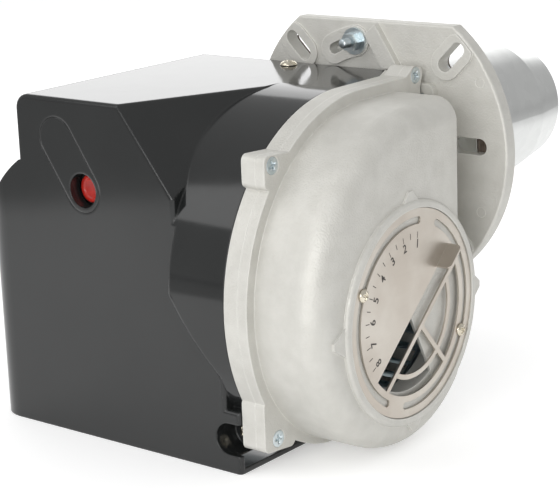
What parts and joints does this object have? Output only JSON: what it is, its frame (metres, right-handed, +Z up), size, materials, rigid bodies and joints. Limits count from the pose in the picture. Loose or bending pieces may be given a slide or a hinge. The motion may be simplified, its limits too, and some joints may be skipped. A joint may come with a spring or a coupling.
{
  "type": "light-oil burner",
  "caption": "Flange-mounted light-oil burner for a small boiler, with a hooded control side, a cast fan casing, an air damper disc and a steel blast tube.",
  "frame": {"origin": "on the blast tube's axis, in the plane of the boiler wall (the gasket's back face)", "axes": "+Y along the blast tube into the boiler, +X towards the air inlet side, +Z up"},
  "size_m": [0.272, 0.337, 0.2338],
  "materials": {
    "cover_plastic": "glossy black moulding",
    "insert_plastic": "black moulding, satin",
    "black_plastic": "black moulding",
    "grey_plastic": "dark grey moulding",
    "red_plastic": "red translucent plastic",
    "cast_aluminium": "fine blasted die casting",
    "sheet_steel": "plated sheet, satin",
    "galvanised_steel": "galvanised sheet",
    "zinc_steel": "bright zinc plate",
    "nickel_steel": "bright nickel plate",
    "core_steel": "laminated core",
    "fan_sheet": "blue-grey plated sheet",
    "pump_iron": "machined casting",
    "brass": "machined brass",
    "copper": "drawn copper",
    "gasket_fibre": "pressed brown fibre",
    "lead_silicone": "silicone lead",
    "porcelain": "glazed porcelain"
  },
  "bodies": {
    "burner": {"blast_tube": "galvanised_steel", "button_spring": "zinc_steel", "capacitor": "black_plastic", "capacitor_clip": "zinc_steel", "control_base": "black_plastic", "control_box": "grey_plastic", "cover_insert": "insert_plastic", "cover_screws": "nickel_steel", "damper_screws": "nickel_steel", "diffuser_disc": "galvanised_steel", "electrode_clamp": "zinc_steel", "electrode_wires": "nickel_steel", "electrodes": "porcelain", "fan_cover": "cast_aluminium", "fan_cover_screws": "zinc_steel", "fan_housing": "cast_aluminium", "flange": "cast_aluminium", "flange_gasket": "gasket_fibre", "flange_screws": "zinc_steel", "front_cover": "cover_plastic", "front_shield": "cast_aluminium", "fuel_line": "copper", "fuel_pump": "pump_iron", "hose_nipples": "brass", "ignition_leads": "lead_silicone", "ignition_transformer": "black_plastic", "inlet_socket": "black_plastic", "lid_screws": "zinc_steel", "line_nuts": "zinc_steel", "motor_bearings": "nickel_steel", "motor_bolts": "zinc_steel", "motor_can": "zinc_steel", "motor_stator": "core_steel", "motor_windings": "copper", "mounting_plate": "zinc_steel", "nozzle": "brass", "nozzle_holder": "brass", "nozzle_line": "brass", "photocell": "black_plastic", "plate_screws": "zinc_steel", "pump_lid": "pump_iron", "rear_shield": "cast_aluminium", "solenoid_coil": "black_plastic", "solenoid_stem": "brass", "stud_nuts": "zinc_steel", "tube_studs": "zinc_steel"},
    "damper": {"damper_disc": "sheet_steel"},
    "fan_drive": {"fan_wheel": "fan_sheet", "motor_shaft": "zinc_steel", "motor_rotor": "core_steel", "pump_coupling": "insert_plastic", "pump_shaft": "zinc_steel"},
    "reset": {"reset_button": "red_plastic"}
  },
  "joints": [
    {"name": "damper_turn", "type": "hinge", "parent": "burner", "child": "damper", "pos_m": [0.082, -0.0953, -0.0758], "axis": [1, 0, 0], "range_deg": [-82, 70]},
    {"name": "fan_spin", "type": "hinge", "parent": "burner", "child": "fan_drive", "pos_m": [0, -0.0953, -0.0758], "axis": [1, 0, 0], "continuous": true},
    {"name": "reset_press", "type": "slide", "parent": "burner", "child": "reset", "axis": [0, 1, 0], "range_m": [0, 0.003], "stiffness_N_per_m": 600, "springref_m": -0.003, "deforming": ["button_spring"]}
  ]
}
